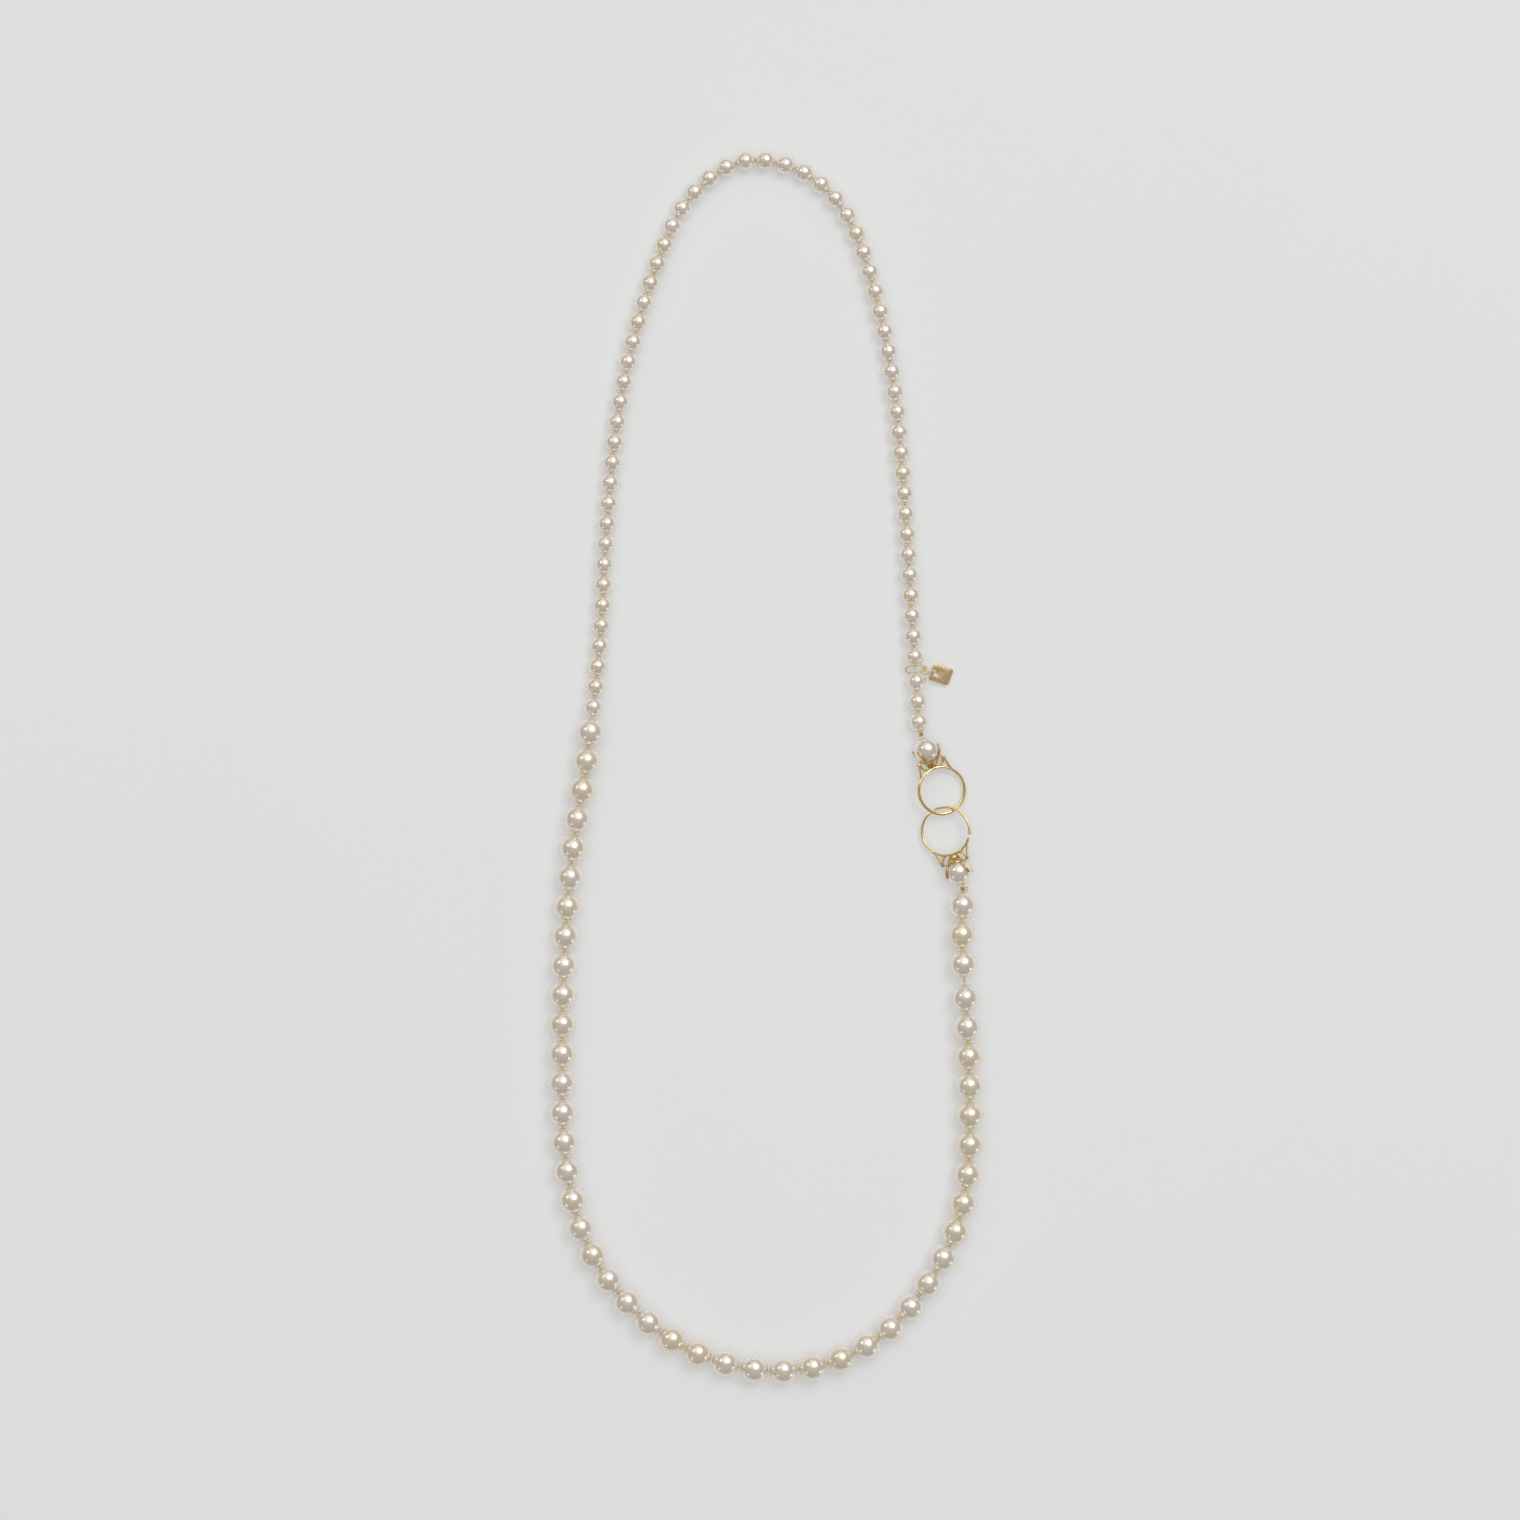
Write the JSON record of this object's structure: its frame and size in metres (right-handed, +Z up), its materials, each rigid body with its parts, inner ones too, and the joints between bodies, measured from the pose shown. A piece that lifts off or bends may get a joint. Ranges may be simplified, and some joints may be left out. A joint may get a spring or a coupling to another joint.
{
  "type": "pearl necklace",
  "caption": "Long strand of small and large pearls knotted on silk, closed by two interlocked ring shanks that each carry a set pearl, with a small plain tag charm.",
  "frame": {"origin": "on the surface the strand lies on, under the middle of the necklace's box", "axes": "+Z up from the surface, +Y along the long way of the loop towards the small pearls, +X towards the clasp side"},
  "size_m": [0.1556, 0.4406, 0.01],
  "materials": {
    "small_pearl": "cream nacre, soft lustre with a thin clear gloss",
    "large_pearl": "cream nacre, soft lustre with a thin clear gloss",
    "set_pearl": "slightly cooler, greyer nacre with a high lustre",
    "silk": "twisted pale yellow silk, hand knotted",
    "ring_gold": "polished warm yellow gold",
    "charm_gold": "lightly worn yellow gold",
    "aged_gold": "darker fine wire, not polished"
  },
  "bodies": {
    "upper_ring": {"upper_ring_shank": "ring_gold", "upper_ring_head": "ring_gold", "upper_ring_peg": "aged_gold", "upper_ring_pearl": "set_pearl", "upper_ring_silk": "silk"},
    "lower_ring": {"lower_ring_shank": "ring_gold", "lower_ring_head": "ring_gold", "lower_ring_peg": "aged_gold", "lower_ring_pearl": "set_pearl", "lower_ring_silk": "silk"},
    "small_strand_01": {"small_pearls_01": "small_pearl", "small_silk_01": "silk", "upper_crimp": "ring_gold"},
    "small_strand_02": {"small_pearls_02": "small_pearl", "small_silk_02": "silk"},
    "small_strand_03": {"small_pearls_03": "small_pearl", "small_silk_03": "silk"},
    "small_strand_04": {"small_pearls_04": "small_pearl", "small_silk_04": "silk"},
    "small_strand_05": {"small_pearls_05": "small_pearl", "small_silk_05": "silk"},
    "small_strand_06": {"small_pearls_06": "small_pearl", "small_silk_06": "silk"},
    "small_strand_07": {"small_pearls_07": "small_pearl", "small_silk_07": "silk"},
    "small_strand_08": {"small_pearls_08": "small_pearl", "small_silk_08": "silk"},
    "small_strand_09": {"small_pearls_09": "small_pearl", "small_silk_09": "silk"},
    "small_strand_10": {"small_pearls_10": "small_pearl", "small_silk_10": "silk"},
    "small_strand_11": {"small_pearls_11": "small_pearl", "small_silk_11": "silk"},
    "large_strand_01": {"large_pearls_01": "large_pearl", "large_silk_01": "silk", "lower_crimp": "ring_gold", "lower_crimp_ring": "aged_gold"},
    "large_strand_02": {"large_pearls_02": "large_pearl", "large_silk_02": "silk"},
    "large_strand_03": {"large_pearls_03": "large_pearl", "large_silk_03": "silk"},
    "large_strand_04": {"large_pearls_04": "large_pearl", "large_silk_04": "silk"},
    "large_strand_05": {"large_pearls_05": "large_pearl", "large_silk_05": "silk"},
    "large_strand_06": {"large_pearls_06": "large_pearl", "large_silk_06": "silk"},
    "large_strand_07": {"large_pearls_07": "large_pearl", "large_silk_07": "silk"},
    "large_strand_08": {"large_pearls_08": "large_pearl", "large_silk_08": "silk"},
    "large_strand_09": {"large_pearls_09": "large_pearl", "large_silk_09": "silk"},
    "link": {"link_ring": "aged_gold"},
    "charm_ring_body": {"charm_ring": "charm_gold"},
    "charm_link_1_body": {"charm_link_1": "charm_gold"},
    "charm_link_2_body": {"charm_link_2": "charm_gold"},
    "charm_tag_body": {"charm_tag": "charm_gold"}
  },
  "joints": [
    {"name": "clasp_swing", "type": "hinge", "parent": "upper_ring", "child": "lower_ring", "pos_m": [0.06273, -0.00826, 0.00354], "axis": [0, 0, 1], "range_deg": [0, 8]},
    {"name": "upper_crimp_swing", "type": "hinge", "parent": "upper_ring", "child": "small_strand_01", "pos_m": [0.05506, 0.01043, 0.0044], "axis": [0, 0, -1], "range_deg": [0, 20]},
    {"name": "small_bend_01", "type": "hinge", "parent": "small_strand_01", "child": "small_strand_02", "pos_m": [0.05349, 0.03431, 0.0035], "axis": [0, 0, -1], "range_deg": [0, 6]},
    {"name": "small_bend_02", "type": "hinge", "parent": "small_strand_02", "child": "small_strand_03", "pos_m": [0.04969, 0.09419, 0.0035], "axis": [0, 0, -1], "range_deg": [0, 6]},
    {"name": "small_bend_03", "type": "hinge", "parent": "small_strand_03", "child": "small_strand_04", "pos_m": [0.04312, 0.15218, 0.0035], "axis": [0, 0, -1], "range_deg": [0, 10]},
    {"name": "small_bend_04", "type": "hinge", "parent": "small_strand_04", "child": "small_strand_05", "pos_m": [0.0309, 0.19415, 0.0035], "axis": [0, 0, -1], "range_deg": [0, 29]},
    {"name": "small_bend_05", "type": "hinge", "parent": "small_strand_05", "child": "small_strand_06", "pos_m": [0.01048, 0.21413, 0.0035], "axis": [0, 0, -1], "range_deg": [0, 36]},
    {"name": "small_bend_06", "type": "hinge", "parent": "small_strand_06", "child": "small_strand_07", "pos_m": [-0.01085, 0.2161, 0.0035], "axis": [0, 0, -1], "range_deg": [0, 43]},
    {"name": "small_bend_07", "type": "hinge", "parent": "small_strand_07", "child": "small_strand_08", "pos_m": [-0.02792, 0.20278, 0.0035], "axis": [0, 0, -1], "range_deg": [0, 27]},
    {"name": "small_bend_08", "type": "hinge", "parent": "small_strand_08", "child": "small_strand_09", "pos_m": [-0.04017, 0.17643, 0.0035], "axis": [0, 0, -1], "range_deg": [0, 10]},
    {"name": "small_bend_09", "type": "hinge", "parent": "small_strand_09", "child": "small_strand_10", "pos_m": [-0.05145, 0.13415, 0.0035], "axis": [0, 0, -1], "range_deg": [0, 9]},
    {"name": "small_bend_10", "type": "hinge", "parent": "small_strand_10", "child": "small_strand_11", "pos_m": [-0.05756, 0.0761, 0.0035], "axis": [0, 0, -1], "range_deg": [0, 6]},
    {"name": "lower_crimp_swing", "type": "hinge", "parent": "lower_ring", "child": "large_strand_01", "pos_m": [0.07071, -0.04212, 0.005], "axis": [0, 0, 1], "range_deg": [0, 20]},
    {"name": "link_ring_swing", "type": "hinge", "parent": "large_strand_01", "child": "link", "pos_m": [0.0708, -0.07565, 0.005], "axis": [0, 0, 1], "range_deg": [0, 15]},
    {"name": "large_bend_01", "type": "hinge", "parent": "link", "child": "large_strand_02", "pos_m": [0.07088, -0.07689, 0.005], "axis": [0, 0, 1], "range_deg": [0, 15]},
    {"name": "large_bend_02", "type": "hinge", "parent": "large_strand_02", "child": "large_strand_03", "pos_m": [0.07251, -0.14001, 0.005], "axis": [0, 0, 1], "range_deg": [0, 18]},
    {"name": "large_bend_03", "type": "hinge", "parent": "large_strand_03", "child": "large_strand_04", "pos_m": [0.06074, -0.17978, 0.005], "axis": [0, 0, 1], "range_deg": [0, 28]},
    {"name": "large_bend_04", "type": "hinge", "parent": "large_strand_04", "child": "large_strand_05", "pos_m": [0.03158, -0.20919, 0.005], "axis": [0, 0, 1], "range_deg": [0, 36]},
    {"name": "large_bend_05", "type": "hinge", "parent": "large_strand_05", "child": "large_strand_06", "pos_m": [-0.00932, -0.21412, 0.005], "axis": [0, 0, 1], "range_deg": [0, 34]},
    {"name": "large_bend_06", "type": "hinge", "parent": "large_strand_06", "child": "large_strand_07", "pos_m": [-0.04594, -0.19474, 0.005], "axis": [0, 0, 1], "range_deg": [0, 32]},
    {"name": "large_bend_07", "type": "hinge", "parent": "large_strand_07", "child": "large_strand_08", "pos_m": [-0.07022, -0.14931, 0.005], "axis": [0, 0, 1], "range_deg": [0, 27]},
    {"name": "large_bend_08", "type": "hinge", "parent": "large_strand_08", "child": "large_strand_09", "pos_m": [-0.07187, -0.06547, 0.005], "axis": [0, 0, 1], "range_deg": [0, 8]},
    {"name": "charm_ring_swing", "type": "hinge", "parent": "small_strand_02", "child": "charm_ring_body", "pos_m": [0.05343, 0.03511, 0.0035], "axis": [-0.0736, 0.9973, 0], "range_deg": [-30, 0]},
    {"name": "charm_link_1_swing", "type": "hinge", "parent": "charm_ring_body", "child": "charm_link_1_body", "pos_m": [0.05659, 0.03458, 0.00214], "axis": [-0.4717, -0.4018, -0.7849], "range_deg": [-15, 15]},
    {"name": "charm_link_2_swing", "type": "hinge", "parent": "charm_link_1_body", "child": "charm_link_2_body", "pos_m": [0.05835, 0.03429, 0.00174], "axis": [-0.073, -0.8693, 0.4889], "range_deg": [0, 12]},
    {"name": "charm_tag_swing", "type": "hinge", "parent": "charm_link_2_body", "child": "charm_tag_body", "pos_m": [0.06033, 0.03396, 0.00164], "axis": [0, 0, 1], "range_deg": [-12, 30]}
  ]
}
